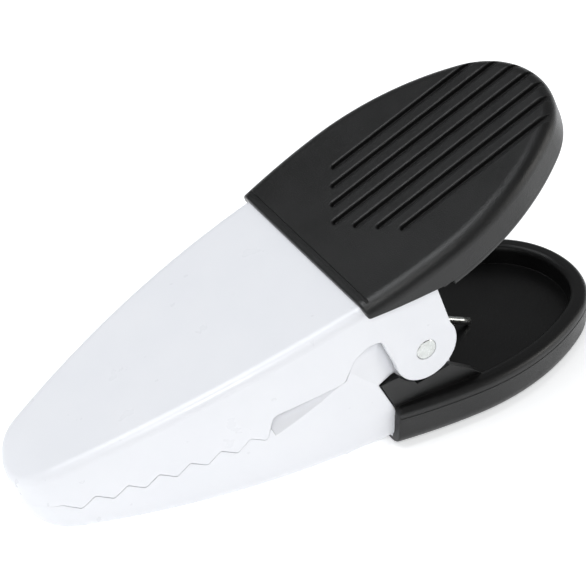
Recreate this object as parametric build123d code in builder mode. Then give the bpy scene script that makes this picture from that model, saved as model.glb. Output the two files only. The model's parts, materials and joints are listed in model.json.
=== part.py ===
"""Spring bag clip: two pressed steel shells on one pin, with moulded grips.

The clip lies on its lower shell, as on a table.  Its nose points to -X and
its grips to +X.  The origin is under the middle of its box, at the table.
"""
from build123d import *
import os
from math import atan2, cos, degrees, pi, radians, sin

# ---- driving dimensions, in millimetres and degrees ----
sheet = 1.0                  # thickness of the painted steel
table_tilt = 10.77            # mid plane of the clip against the table
pivot_x = 10.76              # pivot axis, from the origin
pivot_z = 16.71

# jaw, measured from the pivot axis in the clip's mid plane
nose_reach = 62.1            # pivot axis to the tip of the nose
nose_radius = 8.0
nose_taper = 19.0            # direction of the sides where they leave the nose
nose_roll = 8.0              # the plate rolls down towards the nose
roll_start = -57.5
roll_z = 6.45
grip_x = -8.85               # front edge of the grips
plate_crown = 0.65           # the plate rises this far over its chord
ear_half = 17.0              # outer faces of the upper ears
jaw_depth = 9.0              # how far the blank reaches past the mid plane
edge_radius = 1.6            # soft bend between the plate and the side walls

# teeth of the upper jaw
tooth_count = 7
tooth_pitch = 4.65
last_tooth_x = -27.3
tooth_tip_z = -1.8
tooth_root_z = -0.1
tooth_round = 0.45
relief_z = 2.2               # straight edge behind the teeth
notch_top_z = 6.7            # top of the opening in front of the ears
jaw_gap = 0.25               # upper edge to lower edge, clip closed
lower_flat = 0.5             # the lower nose is this much shallower
lower_inset = 0.4            # lower walls stand this far inside the upper ones

# handles and their grips
handle_angle = 11.7          # each handle plane against the mid plane
grip_z = 14.6                # outer face of the grip at its front edge
grip_half_front = 17.6
grip_half = 18.6
grip_widest = 14.5           # from the front edge to the widest place
grip_length = 45.0
tip_radius = 13.6            # round end of the grip
grip_swell = 0.45            # the side stands this far past the face's edge
lower_slide = 0.5            # the lower grip starts this far behind the upper one
cover_depth = 5.4            # height of the cover
cover_skin = 0.9             # plastic over the steel plate
cover_wall = 1.9
cover_round = 2.2            # soft sides
front_round = 0.35
lip_width = 1.2              # a shallow groove sets off a lip along the front
lip_groove = 0.45
lip_depth = 0.22
liner_depth = 7.0            # outer face of the cover to the liner's rim
rim_width = 3.0
rim_step = 0.05               # the rim stands this far inside the cover's side
dish_floor = 3.5             # outer face of the grip to the floor of the dish
rim_round = 1.1

# grooves in the grips
groove_pitch = 3.2
groove_starts = (6.84, 8.66, 10.88, 13.13)   # from the middle groove outwards
groove_half = 0.52           # half width at the floor
groove_lip = 0.32            # radius of the rounded lips
groove_depth = 0.8

# pivot
ear_radius = 5.4
pin_radius = 1.72
pin_half = 17.05
press_gap = 0.015            # upper ears on the pin
running_gap = 0.06           # lower ears on the pin
lower_ear_half = 15.3        # outer faces of the lower ears
shoulder_x = -7.0            # rear end of the lower jaw's side walls
ear_back = 3.9               # behind the ears, where the upper rim starts
ear_slot = 13.7              # length of the liners' slots for the ears
wall_slot = 2.4              # and of the lower liner's, for the jaw's side walls
slot_gap = 0.1
cheek_clear = 5.8            # the cheeks stay this far from the pin's axis
cheek_width = 1.3

# torsion spring
wire_radius = 0.62
coil_radius = 3.6
coil_turns = 3
coil_pitch = 1.4
leg_slope = 35.1             # each leg against the mid plane
leg_y = -0.5

# ---- planes: the clip is modelled about its mid plane ----
beta = radians(handle_angle)
plate_z = grip_z - cover_skin / cos(beta)     # top of the steel at the grip's edge
pivot = Vector(pivot_x, 0, pivot_z)
along = Vector(cos(radians(table_tilt)), 0, sin(radians(table_tilt)))
above = Vector(-sin(radians(table_tilt)), 0, cos(radians(table_tilt)))
upper_mid = Plane(origin=pivot, x_dir=along, z_dir=above)
lower_mid = Plane(origin=pivot, x_dir=along, z_dir=above * -1)


def side_plane(mid):
    """Plane of symmetry: x runs along the clip, y runs outwards."""
    return Plane(origin=mid.origin, x_dir=mid.x_dir, z_dir=mid.x_dir.cross(mid.z_dir))


def handle_plane(mid, drop=0.0):
    """Outer face of a grip, or a plane below it; x runs to the grip's end."""
    slide = lower_slide if mid.z_dir.Z < 0 else 0
    start = mid.from_local_coords(Vector(grip_x, 0, grip_z))
    run = mid.x_dir * cos(beta) + mid.z_dir * sin(beta)
    out = mid.z_dir * cos(beta) - mid.x_dir * sin(beta)
    return Plane(origin=start + run * slide - out * drop, x_dir=run, z_dir=out)


# ---- shared shapes ----
def jaw_plan(plane, reach, radius, half, end):
    """Plan of a jaw: round nose, bowed sides, straight behind."""
    turn = radians(nose_taper)
    leave = (radius * (1 - sin(turn)) - reach, radius * cos(turn))
    with BuildSketch(plane) as plan:
        with BuildLine():
            nose = RadiusArc((-reach, 0), leave, radius)
            bow = TangentArc(leave, (grip_x, half), tangent=(cos(turn), sin(turn)))
            Polyline(bow @ 1, (end, half), (end, 0), nose @ 0)
        make_face()
        mirror(about=Plane.XZ)
    return plan.sketch


def jaw_side(mid, drop, end, flat=0.0):
    """Side view under the plate: rolled nose, crowned plate, sloping handle."""
    x1, z1 = grip_x, plate_z - drop / cos(beta)
    x0, z0 = roll_start, roll_z - drop - flat
    rise = (end - x1) * sin(beta) / cos(beta)
    with BuildSketch(side_plane(mid).offset(-ear_half - 5)) as side:
        with BuildLine():
            crown = ThreePointArc((x1, z1), ((x0 + x1) / 2, (z0 + z1) / 2 + plate_crown), (x0, z0))
            roll = JernArc(start=crown @ 1, tangent=crown % 1, radius=nose_roll, arc_size=65)
            Polyline(roll @ 1, (-75, (roll @ 1).Y), (-75, -jaw_depth), (end, -jaw_depth),
                     (end, z1 + rise), (x1, z1))
        make_face()
    return side.sketch


def jaw_blank(mid, inset, half, skin, end, flat=0.0):
    """Solid jaw; a second one, smaller by the sheet, hollows it out."""
    reach = nose_reach - inset - skin
    plan = jaw_plan(mid.offset(-jaw_depth), reach, nose_radius - skin, half - skin, end)
    with BuildPart() as blank:
        add(plan)
        extrude(amount=30, dir=mid.z_dir)
        add(jaw_side(mid, skin, end, flat))
        extrude(amount=50, dir=side_plane(mid).z_dir, mode=Mode.INTERSECT)
        rim = []
        for edge in blank.edges():
            spot = mid.to_local_coords(edge.center())
            if abs(spot.Y) > 1 and spot.Z > 2.5 and spot.X < end - 0.1:
                rim.append(edge)
        fillet(rim, radius=edge_radius - skin)
    return blank.part


def tooth_line(gap):
    """Toothed edge, from the nose to the straight edge behind the teeth."""
    points = [(-75, tooth_root_z - gap)]
    for i in reversed(range(tooth_count)):
        tip = last_tooth_x - i * tooth_pitch
        points.append((tip - tooth_pitch / 2, tooth_root_z - gap))
        points.append((tip, tooth_tip_z - gap))
    points.append((last_tooth_x + 1.7 + gap, relief_z - gap))
    return points


def ear_side(mid, edge, soft):
    """Side view of a shell: everything above its edge, and the round ear."""
    behind = [(0, 0), (ear_radius * 0.9, ear_radius * 0.38), (3.6, 10.9), (3.2, 20), (-75, 20)]
    with BuildSketch(side_plane(mid).offset(-ear_half - 5)) as side:
        with BuildLine():
            Polyline(*edge, *behind, close=True)
        make_face()
        teeth = side.vertices().filter_by(lambda v: -60 < v.X < last_tooth_x + 0.5)
        fillet(teeth, radius=tooth_round)
        bends = side.vertices().filter_by(lambda v: last_tooth_x + 1 < v.X < -ear_radius - 0.5 and v.Y < 10)
        fillet(bends, radius=soft)
        Circle(ear_radius)
    return side.sketch


def grip_outline(plane, inset):
    """Plan of a grip: straight front, bowed sides, round end."""
    front = grip_half_front + grip_swell - inset
    half = grip_half + grip_swell - inset
    tip_x = grip_length - tip_radius
    gap = tip_x - grip_widest
    # radius of the side that meets the round end without a corner
    side_radius = (gap ** 2 + grip_half ** 2 - tip_radius ** 2) / (2 * (grip_half - tip_radius))
    side_y = grip_half - side_radius
    meet = degrees(atan2(-side_y, gap))
    grow = grip_swell - inset
    with BuildSketch(plane) as plan:
        with BuildLine():
            CenterArc((tip_x, 0), tip_radius + grow, -meet, 2 * meet)
            CenterArc((grip_widest, side_y), side_radius + grow, meet, 90 - meet)
            CenterArc((grip_widest, -side_y), side_radius + grow, -90, 90 - meet)
            TangentArc((grip_widest, half), (0, front), tangent=(-1, 0))
            TangentArc((grip_widest, -half), (0, -front), tangent=(-1, 0))
            Line((0, front), (0, -front))
        make_face()
    return plan.sketch


def handle_sheet(mid):
    """Steel under a grip."""
    top = handle_plane(mid, cover_skin)
    with BuildPart() as plate:
        add(grip_outline(top, cover_wall))
        extrude(amount=sheet, dir=top.z_dir * -1)
    return plate.part


def groove_cutter(mid):
    """Seven round-lipped grooves running out over the end of a grip."""
    face = handle_plane(mid)
    with BuildPart() as cutter:
        for row in range(-3, 4):
            start = Vector(groove_starts[abs(row)], row * groove_pitch, 0)
            spot = face.from_local_coords(start)
            across = Plane(origin=spot, x_dir=face.y_dir, z_dir=face.x_dir)
            with BuildSketch(across) as section:
                with BuildLine():
                    top = groove_half + groove_lip
                    Line((0, 1), (top, 1))
                    Line((top, 1), (top, 0))
                    RadiusArc((top, 0), (groove_half, -groove_lip), -groove_lip)
                    Line((groove_half, -groove_lip), (groove_half, -groove_depth))
                    Line((groove_half, -groove_depth), (0, -groove_depth))
                    Line((0, -groove_depth), (0, 1))
                make_face()
            revolve(axis=Axis(spot, face.z_dir))
            with BuildSketch(across) as channel:
                add(section.sketch_local)
                mirror(about=Plane.YZ)
            extrude(amount=grip_length, dir=face.x_dir)
    return cutter.part


def grip_cover(mid, steel, grooves):
    """Outer moulding of a grip, hollow, seated on the steel."""
    face = handle_plane(mid)
    with BuildPart() as cover:
        add(grip_outline(face, 0))
        extrude(amount=cover_depth, dir=face.z_dir * -1)
        top = cover.faces().filter_by(face).sort_by(Axis(face.origin, face.z_dir))[-1]
        fillet(top.edges().filter_by(GeomType.CIRCLE), radius=cover_round)
        front = cover.faces().filter_by(face).sort_by(Axis(face.origin, face.z_dir))[-1]
        fillet(front.edges().filter_by(GeomType.LINE), radius=front_round)
        add(grip_outline(handle_plane(mid, cover_skin), cover_wall))
        extrude(amount=cover_depth, dir=face.z_dir * -1, mode=Mode.SUBTRACT)
        add(steel, mode=Mode.SUBTRACT)
        add(grooves, mode=Mode.SUBTRACT)
        with BuildSketch(handle_plane(mid, -1)):
            with Locations((lip_width, 0)):
                Rectangle(lip_groove, 2 * grip_half + 4)
        extrude(amount=1 + lip_depth, dir=face.z_dir * -1, mode=Mode.SUBTRACT)
    return cover.part


def grip_liner(mid, floor_half, slots):
    """Inner moulding of a grip: a dish whose rim closes the cover."""
    face = handle_plane(mid)
    down = face.z_dir * -1
    with BuildPart() as liner:
        add(grip_outline(handle_plane(mid, cover_skin + sheet), cover_wall))
        extrude(amount=liner_depth - cover_skin - sheet, dir=down)
        add(grip_outline(handle_plane(mid, cover_depth), rim_step))
        extrude(amount=liner_depth - cover_depth, dir=down)
        add(grip_outline(handle_plane(mid, dish_floor), rim_width))
        extrude(amount=liner_depth, dir=down, mode=Mode.SUBTRACT)
        low = liner.faces().filter_by(face).sort_by(Axis(face.origin, down))[-1]
        fillet(low.edges(), radius=rim_round)
        # the dish runs out forwards between the ears
        with BuildSketch(handle_plane(mid, dish_floor)):
            Rectangle(2 * ear_slot, 2 * floor_half)
        extrude(amount=liner_depth, dir=down, mode=Mode.SUBTRACT)
        # room for the steel that passes the liner at each side
        for length, inside, outside in slots:
            with BuildSketch(face):
                with Locations((0, (inside + outside) / 2), (0, -(inside + outside) / 2)):
                    Rectangle(2 * length, outside - inside)
            extrude(amount=2 * liner_depth, dir=down, mode=Mode.SUBTRACT)
    return liner.part


# ---- upper jaw ----
upper_edge = tooth_line(0) + [(-14.0, relief_z), (-11.6, 5.6), (-9.2, notch_top_z),
                              (-6.9, 6.4), (-ear_radius * 0.94, -1.3)]
upper_solid = jaw_blank(upper_mid, 0, ear_half, 0, 9.0)
upper_core = jaw_blank(upper_mid, 0, ear_half, sheet, 10.0)
across = side_plane(upper_mid).z_dir

with BuildPart() as upper_jaw:
    add(upper_solid)
    add(upper_core, mode=Mode.SUBTRACT)
    add(ear_side(upper_mid, upper_edge, 1.2))
    extrude(amount=50, dir=across, mode=Mode.INTERSECT)
    add(handle_sheet(upper_mid))
    with Locations(side_plane(upper_mid)):
        Cylinder(pin_radius + press_gap, 50, mode=Mode.SUBTRACT)
upper_jaw.part.label = "upper_jaw"


# ---- lower jaw: inside the upper's walls, shouldered in to its ears ----
shoulder_end = -4.4          # the shoulders reach the ears' plane here
half_wall = ear_half - lower_inset
# corner of each shoulder on the wall, and the directions its two faces look in
shoulder_corner = Vector(grip_x + 0.05, half_wall, 1.8)
shoulder_faces = (Vector(0.110, 0.986, -0.124), Vector(0.295, 0.953, -0.071))
# behind the teeth the wall leans in under the edge of the upper jaw
relief_start = Vector(-26.0, 14.6, 1.2)
relief_run = Vector(12.0, 1.65, -3.4)
relief_lean = Vector(-0.246, 0.858, -0.452).normalized()


def mirrored(vector, side):
    """A vector of the lower jaw, on its near or far side, in the clip's place."""
    return lower_mid.x_dir * vector.X + lower_mid.y_dir * (side * vector.Y) + lower_mid.z_dir * vector.Z


def lower_blank(skin):
    """Solid lower jaw with the slanting shoulders in front of its ears."""
    wide = jaw_blank(lower_mid, lower_inset, half_wall, skin, shoulder_end, lower_flat)
    with BuildPart() as blank:
        add(wide)
        for side in (1, -1):
            for lean in shoulder_faces:
                spot = shoulder_corner - lean * skin
                split(bisect_by=Plane(origin=pivot + mirrored(spot, side), z_dir=mirrored(lean, side)),
                      keep=Keep.BOTTOM)
            spot = relief_start - relief_lean * skin
            with BuildSketch(Plane(origin=pivot + mirrored(spot, side), x_dir=mirrored(relief_run, side),
                                   z_dir=mirrored(relief_lean, side))):
                Rectangle(relief_run.length, 14, align=(Align.MIN, Align.CENTER))
            extrude(amount=4, mode=Mode.SUBTRACT)
        # the side walls end in a slanting edge under the shoulders
        with BuildSketch(side_plane(lower_mid).offset(-ear_half - 5)):
            with BuildLine():
                Polyline((grip_x + 0.05 - skin, 1.9 - skin), (0, 2.4 - skin), (0, 30), (shoulder_x - skin, 30),
                         (shoulder_x - skin, 8.0), close=True)
            make_face()
        extrude(amount=50, dir=side_plane(lower_mid).z_dir, mode=Mode.SUBTRACT)
        with BuildSketch(lower_mid.offset(-jaw_depth)):
            with Locations((-3, 0)):
                Rectangle(26 + 2 * skin, 2 * (lower_ear_half - skin))
        extrude(amount=30, dir=lower_mid.z_dir)
        add(jaw_side(lower_mid, skin, 10 + skin))
        extrude(amount=50, dir=side_plane(lower_mid).z_dir, mode=Mode.INTERSECT)
    return blank.part


lower_edge = []
for x, z in tooth_line(jaw_gap):
    lower_edge.append((x, -z))
lower_edge += [(-13.6, jaw_gap - relief_z), (-11.7, -4.9), (-10.8, -6.4), (-9.5, -7.3), (-5.5, -7.3),
               (-2.5, -ear_radius), (0, -ear_radius)]
lower_solid = lower_blank(0)

with BuildPart() as lower_jaw:
    add(lower_solid)
    add(lower_blank(sheet), mode=Mode.SUBTRACT)
    add(ear_side(lower_mid, lower_edge, 0.8))
    extrude(amount=50, dir=side_plane(lower_mid).z_dir, mode=Mode.INTERSECT)
    add(handle_sheet(lower_mid))
    with Locations(side_plane(lower_mid)):
        Cylinder(pin_radius + running_gap, 50, mode=Mode.SUBTRACT)
lower_jaw.part.label = "lower_jaw"

# ---- grips ----
with BuildPart() as upper_cover:
    add(grip_cover(upper_mid, upper_solid, groove_cutter(upper_mid)))
    with BuildSketch(side_plane(upper_mid).offset(-ear_half - 5)):
        with BuildLine():
            Polyline((-15, -9), (-15, 12.7), (-9, 12.7), (-3.3, 12.35), (ear_back, 11.95),
                     (ear_back, -9), close=True)
        make_face()
    extrude(amount=50, dir=across, mode=Mode.SUBTRACT)
upper_cover.part.label = "upper_grip_cover"

with BuildPart() as lower_cover:
    add(grip_cover(lower_mid, lower_solid, groove_cutter(lower_mid)))
lower_cover.part.label = "lower_grip_cover"

with BuildPart() as upper_liner:
    inner = ear_half - edge_radius - slot_gap
    add(grip_liner(upper_mid, inner, [(ear_slot, inner, grip_half + 1)]))
upper_liner.part.label = "upper_grip_liner"

with BuildPart() as lower_dish:
    inner = lower_ear_half - sheet - slot_gap
    add(grip_liner(lower_mid, inner, [(ear_slot, inner, lower_ear_half + slot_gap),
                                      (wall_slot, inner, ear_half - lower_inset + slot_gap)]))
lower_liner_dish = lower_dish.part

# ---- cheeks: the lower liner rises at each side to cover the ear below the pin ----
with BuildPart() as lower_liner:
    add(lower_liner_dish)
    for side in (1, -1):
        foot = side_plane(lower_mid).offset(side * (lower_ear_half + slot_gap))
        with BuildSketch(foot):
            with BuildLine():
                Polyline((-8.4, 2.2), (-4.3, 2.6), (-2.5, cheek_clear), (3.4, cheek_clear),
                         (7.2, 9.4), (9.5, 12.3), (shoulder_x + 1, 9.3), (shoulder_x + slot_gap, 8.9),
                         (shoulder_x + slot_gap, 8.0), close=True)
            make_face()
            Circle(cheek_clear, mode=Mode.SUBTRACT)
        extrude(amount=side * cheek_width, dir=side_plane(lower_mid).z_dir)
lower_liner.part.label = "lower_grip_liner"

# ---- pivot pin ----
with BuildPart() as pivot_pin:
    with Locations(side_plane(upper_mid)):
        Cylinder(pin_radius, 2 * pin_half)
    chamfer(pivot_pin.edges().filter_by(GeomType.CIRCLE), length=0.15)
pivot_pin.part.label = "pivot_pin"

# ---- torsion spring: a coil round the pin, its legs pushing the handles apart ----
slope = radians(leg_slope)
foot_x = -coil_radius * sin(slope)
foot_z = coil_radius * cos(slope)
# run of a leg until its end meets the floor of the dish
reach_floor = (grip_z - dish_floor / cos(beta) - grip_x * sin(beta) / cos(beta)) * cos(beta)
leg_run = (reach_floor - wire_radius * cos(slope - beta) - 0.02
           - (foot_z * cos(beta) - foot_x * sin(beta))) / sin(slope - beta)
wrap = (coil_turns + (180 - 2 * leg_slope) / 360)

coil_steps = 16                                # points on each turn of the path
leg_steps = 8


def coil_turn(turn):
    """Point and direction of the wire's middle, so many turns from its lower leg."""
    angle = -slope - pi / 2 - 2 * pi * turn
    point = along * (coil_radius * cos(angle)) + above * (coil_radius * sin(angle))
    run = along * (sin(angle)) - above * cos(angle) + Vector(0, coil_pitch / (2 * pi * coil_radius), 0)
    return pivot + point + Vector(0, leg_y + turn * coil_pitch, 0), run.normalized()


leave, leave_run = coil_turn(0)
arrive, arrive_run = coil_turn(wrap)
path_points = []
for i in range(leg_steps):
    path_points.append(leave - leave_run * (leg_run * (1 - i / leg_steps)))
count = round(wrap * coil_steps)
for i in range(count + 1):
    path_points.append(coil_turn(wrap * i / count)[0])
for i in range(leg_steps):
    path_points.append(arrive + arrive_run * (leg_run * (i + 1) / leg_steps))

with BuildPart() as torsion_spring:
    with BuildLine() as wire:
        Spline(*path_points, tangents=(leave_run, arrive_run))
    with BuildSketch(wire.line ^ 0):
        Circle(wire_radius)
    sweep(path=wire.line)
torsion_spring.part.label = "torsion_spring"

# ---- parts ----
os.makedirs("parts", exist_ok=True)
for item in (upper_jaw, lower_jaw, upper_cover, lower_cover, upper_liner, lower_liner,
             pivot_pin, torsion_spring):
    export_step(item.part, "parts/" + item.part.label + ".step")
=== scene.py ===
import json
import math
import bpy
from mathutils import Matrix, Vector


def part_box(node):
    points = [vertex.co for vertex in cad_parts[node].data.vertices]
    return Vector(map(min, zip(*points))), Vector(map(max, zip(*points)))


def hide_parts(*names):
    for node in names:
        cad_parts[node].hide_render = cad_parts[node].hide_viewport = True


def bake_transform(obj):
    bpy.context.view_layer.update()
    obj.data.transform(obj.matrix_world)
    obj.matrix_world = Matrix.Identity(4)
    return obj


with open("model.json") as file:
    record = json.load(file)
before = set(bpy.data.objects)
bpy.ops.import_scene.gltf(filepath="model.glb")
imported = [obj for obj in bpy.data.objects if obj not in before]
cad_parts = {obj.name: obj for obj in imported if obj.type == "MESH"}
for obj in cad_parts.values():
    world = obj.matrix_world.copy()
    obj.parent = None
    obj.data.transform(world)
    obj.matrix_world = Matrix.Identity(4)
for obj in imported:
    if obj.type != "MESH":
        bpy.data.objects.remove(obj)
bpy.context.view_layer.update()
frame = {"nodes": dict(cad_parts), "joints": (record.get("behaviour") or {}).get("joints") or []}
nodes = frame["nodes"]
pivot = Vector(frame["joints"][0]["pos_m"])
tilt = math.radians(10.77)      # the clip's mid plane against the table
along = Vector((math.cos(tilt), 0, math.sin(tilt)))
above = Vector((-math.sin(tilt), 0, math.cos(tilt)))


# ---------- materials ----------
def new_material(name):
    m = bpy.data.materials.new(name)
    m.use_nodes = True
    t = m.node_tree
    t.nodes.clear()
    out = t.nodes.new("ShaderNodeOutputMaterial")
    bsdf = t.nodes.new("ShaderNodeBsdfPrincipled")
    t.links.new(bsdf.outputs[0], out.inputs[0])
    return m, t, bsdf


def noise(t, coord, scale, detail=3.0, rough=0.5):
    n = t.nodes.new("ShaderNodeTexNoise")
    n.inputs["Scale"].default_value = scale
    n.inputs["Detail"].default_value = detail
    n.inputs["Roughness"].default_value = rough
    t.links.new(coord, n.inputs["Vector"])
    return n.outputs[0]


def ramp(t, fac, a, b, ca, cb):
    n = t.nodes.new("ShaderNodeValToRGB")
    n.color_ramp.elements[0].position = a
    n.color_ramp.elements[1].position = b
    n.color_ramp.elements[0].color = ca
    n.color_ramp.elements[1].color = cb
    t.links.new(fac, n.inputs[0])
    return n.outputs[0]


def remap(t, fac, a, b, c, d):
    n = t.nodes.new("ShaderNodeMapRange")
    for i, v in zip((1, 2, 3, 4), (a, b, c, d)):
        n.inputs[i].default_value = v
    t.links.new(fac, n.inputs[0])
    return n.outputs[0]


def bump(t, height, strength, distance, normal=None):
    n = t.nodes.new("ShaderNodeBump")
    n.inputs["Strength"].default_value = strength
    n.inputs["Distance"].default_value = distance
    t.links.new(height, n.inputs["Height"])
    if normal is not None:
        t.links.new(normal, n.inputs["Normal"])
    return n.outputs[0]


def soft_edges(t, radius):
    n = t.nodes.new("ShaderNodeBevel")
    n.samples = 6
    n.inputs["Radius"].default_value = radius
    return n.outputs[0]


def grey(v, tint=(1, 1, 1)):
    return (v * tint[0], v * tint[1], v * tint[2], 1)


def paint():
    m, t, b = new_material("white_paint")
    coord = t.nodes.new("ShaderNodeTexCoord").outputs["Object"]
    tone = noise(t, coord, 90, 4)
    t.links.new(ramp(t, tone, 0.3, 0.7, (0.78, 0.79, 0.825, 1), (0.80, 0.808, 0.838, 1)),
                b.inputs["Base Color"])
    t.links.new(remap(t, noise(t, coord, 260, 5), 0.3, 0.7, 0.27, 0.38), b.inputs["Roughness"])
    b.inputs["Coat Weight"].default_value = 0.15
    b.inputs["Coat Roughness"].default_value = 0.2
    n = soft_edges(t, 0.00022)
    n = bump(t, noise(t, coord, 70, 2), 0.07, 0.0006, n)
    n = bump(t, noise(t, coord, 1300, 2), 0.10, 0.00006, n)
    t.links.new(n, b.inputs["Normal"])
    return m


def black_plastic(name, base, rough, grain):
    m, t, b = new_material(name)
    coord = t.nodes.new("ShaderNodeTexCoord").outputs["Object"]
    fine = noise(t, coord, 5200, 3, 0.6)
    patch = noise(t, coord, 160, 4)
    t.links.new(ramp(t, fine, 0.32, 0.72, grey(base * 0.75), grey(base * 1.45, (1.0, 0.99, 0.98))),
                b.inputs["Base Color"])
    t.links.new(remap(t, patch, 0.3, 0.7, rough - 0.05, rough + 0.07), b.inputs["Roughness"])
    b.inputs["Specular IOR Level"].default_value = 0.4
    n = soft_edges(t, 0.00016)
    n = bump(t, noise(t, coord, 55, 2), 0.15, 0.0006, n)
    n = bump(t, fine, grain, 0.00009, n)
    t.links.new(n, b.inputs["Normal"])
    return m


def steel(name, base, rough):
    m, t, b = new_material(name)
    coord = t.nodes.new("ShaderNodeTexCoord").outputs["Object"]
    t.links.new(ramp(t, noise(t, coord, 900, 5), 0.3, 0.7, grey(base * 0.86, (0.98, 1.0, 0.97)),
                     grey(base, (0.97, 1.0, 0.98))), b.inputs["Base Color"])
    b.inputs["Metallic"].default_value = 1.0
    t.links.new(remap(t, noise(t, coord, 2200, 4), 0.3, 0.7, rough - 0.07, rough + 0.1),
                b.inputs["Roughness"])
    n = soft_edges(t, 0.00015)
    n = bump(t, noise(t, coord, 3000, 3), 0.15, 0.00005, n)
    t.links.new(n, b.inputs["Normal"])
    return m


mat_paint = paint()
mat_cover = black_plastic("grip_black", 0.005, 0.33, 0.6)
mat_liner = black_plastic("liner_black", 0.004, 0.36, 0.3)
mat_steel = steel("zinc_steel", 0.66, 0.3)

looks = {
    "upper_jaw": mat_paint, "lower_jaw": mat_paint,
    "upper_grip_cover": mat_cover, "lower_grip_cover": mat_cover,
    "upper_grip_liner": mat_liner, "lower_grip_liner": mat_liner,
    "pivot_pin": mat_steel, "torsion_spring": mat_steel,
}
for name, obj in nodes.items():
    obj.data.materials.clear()
    obj.data.materials.append(looks[name])

# ---------- the spring's wire, which twists between the two handles ----------
wire_r = 0.00062
coil_r = 0.0036
coil_pitch = 0.0014
slope = math.radians(35.1)      # each leg against the clip's mid plane
turns = 3 + 109.8 / 360
leg_y = -0.0005                 # where the coil starts across the clip
leg_steps = 12
coil_steps = 150
ring = 20                       # sides of the wire
end_rise = 0.9                  # lowest point to the middle of the leg's end, in wire radii
spring_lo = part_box("torsion_spring")[0]


def coil_at(turn):
    a = -slope - math.pi / 2 - 2 * math.pi * turn
    spot = pivot + along * (coil_r * math.cos(a)) + above * (coil_r * math.sin(a))
    rise = coil_pitch / (2 * math.pi * coil_r)
    run = along * math.sin(a) - above * math.cos(a) + Vector((0, rise, 0))
    return spot + Vector((0, leg_y + turn * coil_pitch, 0)), run.normalized()


first, first_run = coil_at(0)
last, last_run = coil_at(turns)
leg = (first.z - spring_lo.z - wire_r * end_rise) / first_run.z
path = [first - first_run * leg * (1 - i / leg_steps) for i in range(leg_steps)]
path += [coil_at(turns * i / coil_steps)[0] for i in range(coil_steps + 1)]
path += [last + last_run * leg * (i + 1) / leg_steps for i in range(leg_steps)]
verts = []
faces = []
side = Vector((0, 1, 0))
for i, p in enumerate(path):
    run = (path[min(i + 1, len(path) - 1)] - path[max(i - 1, 0)]).normalized()
    side = (side - run * side.dot(run)).normalized()
    other = run.cross(side)
    for k in range(ring):
        a = 2 * math.pi * k / ring
        verts.append(p + (side * math.cos(a) + other * math.sin(a)) * wire_r)
for i in range(len(path) - 1):
    for k in range(ring):
        here = i * ring
        ahead = (i + 1) * ring
        turned = (k + 1) % ring
        faces.append((here + k, here + turned, ahead + turned, ahead + k))
faces.append(tuple(reversed(range(ring))))
faces.append(tuple(range((len(path) - 1) * ring, len(path) * ring)))
mesh = bpy.data.meshes.new("spring_wire")
mesh.from_pydata([tuple(v) for v in verts], [], faces)
for p in mesh.polygons:
    p.use_smooth = len(p.vertices) == 4
mesh.materials.append(mat_steel)
wire = bpy.data.objects.new("spring_wire", mesh)
bpy.context.scene.collection.objects.link(wire)
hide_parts("torsion_spring")
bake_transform(wire)

# ---------- studio ----------
bpy.ops.mesh.primitive_plane_add(size=6, location=(0, 0, 0))
floor = bpy.context.object
floor.name = "studio_floor"
m, t, b = new_material("studio_white")
coord = t.nodes.new("ShaderNodeTexCoord").outputs["Object"]
t.links.new(ramp(t, noise(t, coord, 3, 3), 0.3, 0.7, (0.93, 0.93, 0.93, 1), (0.95, 0.95, 0.95, 1)),
            b.inputs["Base Color"])
b.inputs["Roughness"].default_value = 0.7
b.inputs["Emission Color"].default_value = (0.97, 0.985, 1.0, 1)
b.inputs["Emission Strength"].default_value = 0.45
floor.data.materials.append(m)

world = bpy.data.worlds.new("studio")
bpy.context.scene.world = world
world.use_nodes = True
wt = world.node_tree
bg = wt.nodes["Background"]
bg.inputs[0].default_value = (0.97, 0.985, 1.0, 1)
bg.inputs[1].default_value = 0.26


def area(name, place, target, size, power, colour=(1, 1, 1)):
    light = bpy.data.lights.new(name, "AREA")
    light.shape = "RECTANGLE"
    light.size = size[0]
    light.size_y = size[1]
    light.energy = power
    light.color = colour
    o = bpy.data.objects.new(name, light)
    o.location = place
    o.rotation_euler = (Vector(target) - Vector(place)).to_track_quat("-Z", "Y").to_euler()
    bpy.context.scene.collection.objects.link(o)


area("key", (-0.35, -0.50, 0.60), (0, 0, 0.02), (0.22, 0.2), 2.1, (1.0, 0.995, 0.985))
area("top", (-0.25, 0.10, 0.8), (0, 0, 0.02), (0.5, 0.5), 4.2, (0.96, 0.98, 1.0))
area("rim", (0.55, -0.30, 0.16), (0.02, 0, 0.03), (0.25, 0.10), 0.8, (1.0, 0.98, 0.94))

# ---------- camera ----------
cam_data = bpy.data.cameras.new("camera")
cam_data.lens = 130.0
cam_data.sensor_width = 36
cam_data.clip_start = 0.01
cam_data.clip_end = 20
cam = bpy.data.objects.new("camera", cam_data)
bpy.context.scene.collection.objects.link(cam)


def from_clip(v):
    """A vector given along, across and above the clip's mid plane."""
    return along * v[0] + Vector((0, v[1], 0)) + above * v[2]


place = pivot + from_clip((-0.0997, -0.2210, 0.2198))
back = from_clip((-0.276, -0.693, 0.666)).normalized()
up = from_clip((0.472, 0.506, 0.722)).normalized()
up = (up - back * up.dot(back)).normalized()
right = up.cross(back)
cam.matrix_world = Matrix.Translation(place) @ Matrix((right, up, back)).transposed().to_4x4()
bpy.context.scene.camera = cam
bpy.context.scene.view_settings.view_transform = "Standard"
